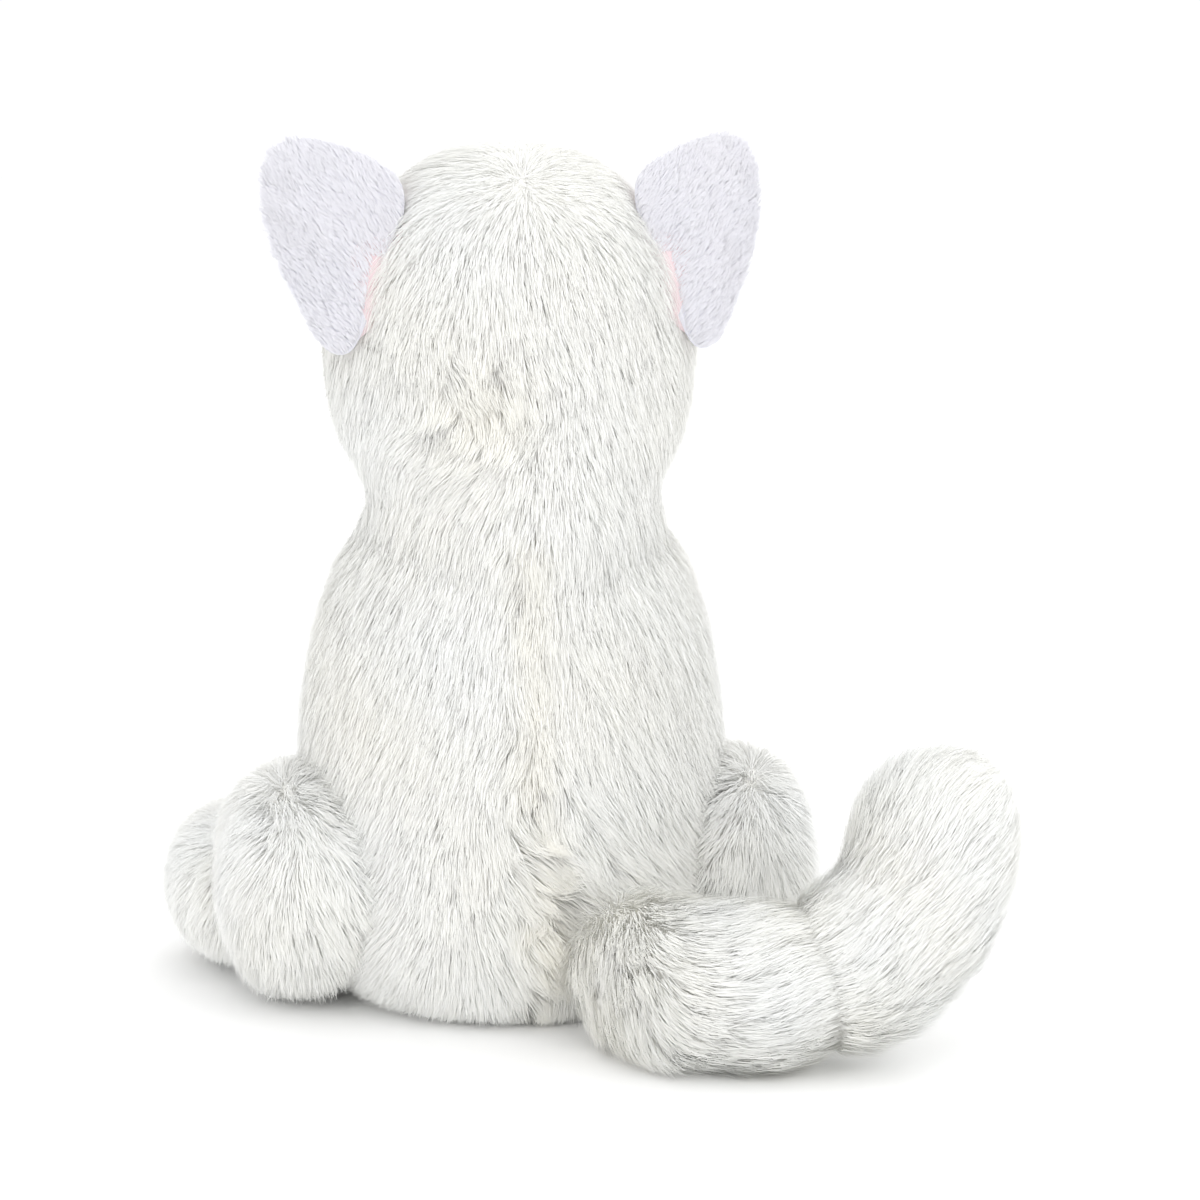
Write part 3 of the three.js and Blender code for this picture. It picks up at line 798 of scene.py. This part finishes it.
def build_tail(fur, backing, fibre):
    root = np.array(JOINTS["tail_swing"]["pos_m"])
    rump_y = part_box("tail_base_skin")[0].y

    def taper_root(points):
        """Narrows the sewn end of the tail towards the rump."""
        past_root = points[:, 0] - root[0] + 10 * MM
        by_root = smooth_step(past_root / (32 * MM))
        pressed = points.copy()
        pressed[:, 0] -= 0.35 * by_root * past_root
        pressed[:, 1] -= 0.6 * by_root * (points[:, 1] - rump_y)
        pressed[:, 2] -= 0.3 * by_root * (points[:, 2] - root[2])
        return pressed

    form = stuffed_form("tail_form", ["tail_base_stuffing", "tail_tip_stuffing"], 4 * MM, 4 * MM, 6 * MM,
                        pressure=40, smoothing=16, reshape=taper_root)
    bend = np.array(JOINTS["tail_tip_bend"]["pos_m"])
    low, high = (np.array(corner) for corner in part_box("tail_tip_stuffing"))
    tip = np.array([low[0] + 16 * MM, (low[1] + high[1]) / 2, high[2]])
    ahead = unit(unit(bend - root) + unit(tip - bend))
    reach = 12 * MM
    blend = ("tail_base", "tail_tip", tuple(bend - ahead * reach), tuple(bend + ahead * reach))
    filling("tail_filling", form, ["tail_base_stuffing", "tail_tip_stuffing"], fibre)
    panel("tail_fabric", form, [], None,
          ["tail_base_skin", "tail_tip_skin"], backing, blend=blend)
    route = [root, bend, tip]

    def at_root(points):
        return smooth_step((points[:, 0] - root[0] + 16 * MM) / (20 * MM))

    def flow(points):
        toward = np.zeros_like(points)
        for a, b in zip(route[:-1], route[1:]):
            toward += near(points, (a + b) / 2, 38 * MM)[:, None] * unit(b - a)
        return unit(toward) + at_root(points)[:, None] * np.array([0.2, 0.3, -1.3])

    def ruffle(points):
        return 0.12 + 0.25 * near(points, (root + bend) / 2 - (0, 0, 10 * MM), 34 * MM)

    def tone_and_painted_shade(points):
        # Ivory painted shade round the tail's root where it meets the body; the waves are its own uneven
        # tone.
        return 0.3 + 0.35 * near(points, root, 30 * MM) + 0.2 * waves(points, 45 * MM, 53)[:, 0]

    coat = Fur(form, 51, flow, 15 * MM, tone_and_painted_shade, ruffle=ruffle, tuft=6.5 * MM)
    add_fur(coat, "tail_fur", coat.points[:, 2] > LOWEST_ROOT_Z, fur, blend=blend)
    bpy.data.objects.remove(form)


def ear_frame(side, sign):
    """The fold line's foot and the ear's own directions: out from the head, up the fold, forwards."""
    joint = JOINTS[f"ear_{side}_fold"]
    foot = Vector(joint["pos_m"])
    up = Vector(joint["axis"]).normalized()
    if up.z < 0:
        up.negate()
    outwards = Vector((0.93 * sign, -0.36, 0))
    forwards = outwards.cross(up).normalized() * sign
    out = up.cross(forwards).normalized() * sign
    return foot, out, up, forwards


# Millimetres out from the fold line and up along it. The lining shows past the back's inner edge.
EAR_OUTLINE = [
    (-3, 3), (6, 1), (17, 13), (28, 27), (35, 41), (37.5, 53), (34, 62), (23, 65), (8, 63), (-6, 58),
    (-10, 45), (-7, 25),
]
LINING_OUTLINE = [
    (-3, 6), (5, 3), (15, 14), (26, 28), (33, 42), (34, 52), (31, 59), (21, 62), (8, 60), (-4, 55), (-11, 42),
    (-13, 28), (-10, 16),
]


def smooth_loop(points, steps):
    """A closed Catmull-Rom curve through points."""
    pts = np.array(points, float)
    out = []
    for i in range(len(pts)):
        p0, p1, p2, p3 = (pts[(i + k) % len(pts)] for k in (-1, 0, 1, 2))
        for t in np.arange(steps) / steps:
            out.append(0.5 * (2 * p1 + (p2 - p0) * t + (2 * p0 - 5 * p1 + 4 * p2 - p3) * t**2
                              + (3 * p1 - p0 - 3 * p2 + p3) * t**3))
    return np.array(out)


def ear_sheet(name, side, sign, outline, depth, facing, cup=-5 * MM):
    """A cupped leaf of cloth inside the outline, at this depth in front of the ear's plane.

    Its outer face looks forwards where facing is 1, and backwards where it is -1.
    """
    foot, out, up, forwards = ear_frame(side, sign)
    loop = smooth_loop(outline, 5) * MM
    middle = loop.mean(0)
    rings = 9
    bm = bmesh.new()
    grid = []
    for ring in range(1, rings + 1):
        share = ring / rings
        row = []
        for across, along in middle + (loop - middle) * share:
            hollow = depth + cup * (1 - share ** 2)
            point = foot + out * across + up * along + forwards * hollow
            row.append(bm.verts.new(point))
        grid.append(row)
    centre = bm.verts.new(foot + out * middle[0] + up * middle[1] + forwards * (depth + cup))
    count = len(loop)
    for j in range(count):
        bm.faces.new((centre, grid[0][j], grid[0][(j + 1) % count]))
        for inner, outer in zip(grid[:-1], grid[1:]):
            bm.faces.new((inner[j], outer[j], outer[(j + 1) % count], inner[(j + 1) % count]))
    bmesh.ops.recalc_face_normals(bm, faces=bm.faces[:])
    bm.normal_update()
    mean = sum((face.normal * face.calc_area() for face in bm.faces), Vector())
    if mean.dot(forwards) * facing < 0:
        bmesh.ops.reverse_faces(bm, faces=bm.faces[:])
    mesh = bpy.data.meshes.new(name)
    bm.to_mesh(mesh)
    bm.free()
    mesh.polygons.foreach_set("use_smooth", [True] * len(mesh.polygons))
    piece = bpy.data.objects.new(name, mesh)
    bpy.context.scene.collection.objects.link(piece)
    return piece


def build_ear(side, sign, short, pink, short_cloth, pink_cloth):
    foot, out, up, _ = ear_frame(side, sign)
    back = ear_sheet(f"ear_back_fabric_{side}", side, sign, EAR_OUTLINE, 0.5 * MM, -1)
    lining = ear_sheet(f"ear_lining_fabric_{side}", side, sign, LINING_OUTLINE, 2.5 * MM, 1)
    comb = np.array(out * 0.75 + up * 0.6)
    jobs = (
        (back, "ear_back", short, short_cloth, "short_pile", 61, 4 * MM),
        (lining, "ear_lining", pink, pink_cloth, "pink_pile", 71, 2.6 * MM),
    )
    for piece, node, fur, cloth, slot, seed, length in jobs:
        coat = Fur(piece, seed + sign, lambda p: np.tile(comb, (len(p), 1)), length,
                   lambda p: 0.3 + 0.25 * waves(p, 30 * MM, 63)[:, 0], ruffle=0.15,
                   per_mm2=6, width=0.26 * MM, tuft=3 * MM)
        from_foot = coat.points - np.array(foot)
        in_head = (from_foot @ np.array(out) < -4 * MM) & (from_foot @ np.array(up) < 32 * MM)
        add_fur(coat, f"{node}_fur_{side}", ~in_head, fur, f"ear_{side}")
        thick = piece.modifiers.new("backing", "SOLIDIFY")
        thick.thickness = BACKING
        piece.data.materials.append(cloth)
        bake_modifiers(piece)
        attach(piece, f"ear_{side}")
        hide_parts(f"{node}_{side}")


def finish_cad_nodes(fibre):
    """Materials for the CAD nodes that stay: fittings, stuffing, pellet bag and thread."""
    woven = cloth_material("bag_weave", (0.8, 0.77, 0.7), (0.62, 0.6, 0.53), 900, 0.4)
    thread = cloth_material("mouth_thread", (0.72, 0.42, 0.47), (0.5, 0.26, 0.31), 1500, 0.6)
    nose = plastic_material("nose_moulding", (0.75, 0.36, 0.4), (0.62, 0.26, 0.3), 0.35)
    washer = plastic_material("washer_moulding", (0.85, 0.85, 0.85), (0.76, 0.76, 0.76), 0.5)
    looks = {"stuffing": fibre, "bag": woven, "stitching": thread, "washer": washer, "nose": nose}
    for name, node in NODES.items():
        for word, material in looks.items():
            if word in name:
                node.data.materials.clear()
                node.data.materials.append(material)
                break
    for side in ("left", "right"):
        eye = NODES[f"eye_{side}"]
        eye.data.materials.clear()
        eye.data.materials.append(eye_material(side))


def eye_material(side):
    """A glossy eye: dark pupil, blue iris with a darker rim, from the distance to the eye's axis."""
    material, tree, shader = new_material(f"eye_{side}_moulding")
    low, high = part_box(f"eye_{side}")
    middle = (low + high) / 2
    place = add_node(tree, "ShaderNodeTexCoord")
    shift = add_node(tree, "ShaderNodeVectorMath", operation="SUBTRACT")
    shift.inputs[1].default_value = middle
    tree.links.new(place.outputs["Object"], shift.inputs[0])
    flat = add_node(tree, "ShaderNodeVectorMath", operation="MULTIPLY")
    radius = (high.x - low.x) / 2
    flat.inputs[1].default_value = (1 / radius, 0, 1 / radius)
    tree.links.new(shift.outputs[0], flat.inputs[0])
    far = add_node(tree, "ShaderNodeVectorMath", operation="LENGTH")
    tree.links.new(flat.outputs[0], far.inputs[0])
    color = ramp(tree, far.outputs["Value"], [
        (0.0, (0.005, 0.005, 0.006)), (0.55, (0.005, 0.005, 0.006)), (0.6, (0.03, 0.13, 0.26)),
        (0.78, (0.07, 0.24, 0.4)), (0.9, (0.02, 0.06, 0.12)), (1.0, (0.005, 0.01, 0.02)),
    ])
    tree.links.new(color, shader.inputs["Base Color"])
    shader.inputs["Roughness"].default_value = 0.06
    shader.inputs["Coat Weight"].default_value = 0.3
    shader.inputs["Coat Roughness"].default_value = 0.03
    return material


make_camera()
make_stage()
# long_fur's ivory end is partly painted shade in the partings, the nape swirl and round the tail's root. Each
# fur's last number is its painted root shade.
long_fur = fur_material("long_fur", (0.95, 0.96, 0.96), (0.96, 0.945, 0.885), 0.97)
short_fur = fur_material("short_fur", (0.86, 0.86, 0.90), (0.88, 0.87, 0.90), 0.94)
pink_fur = fur_material("pink_fur", (0.80, 0.68, 0.70), (0.82, 0.71, 0.71), 0.97)
backing_cloth = cloth_material("backing_knit", (0.92, 0.92, 0.90), (0.84, 0.83, 0.80), 800, 0.5)
ear_cloth = cloth_material("ear_knit", (0.84, 0.84, 0.9), (0.74, 0.74, 0.82), 900, 0.4)
stuffing_fibre = cloth_material("stuffing_fibre", (0.95, 0.95, 0.95), (0.85, 0.85, 0.85), 400, 0.5)
lining_cloth = cloth_material("lining_knit", (0.84, 0.70, 0.72), (0.76, 0.60, 0.63), 900, 0.4)
build_body(long_fur, backing_cloth)
build_muzzle(short_fur, backing_cloth)
build_tail(long_fur, backing_cloth, stuffing_fibre)
for side_name, side_sign in (("left", 1), ("right", -1)):
    build_front_leg(side_name, side_sign, long_fur, backing_cloth)
    build_hind_leg(side_name, side_sign, long_fur, backing_cloth, short_fur)
    build_ear(side_name, side_sign, short_fur, pink_fur, ear_cloth, lining_cloth)
finish_cad_nodes(stuffing_fibre)
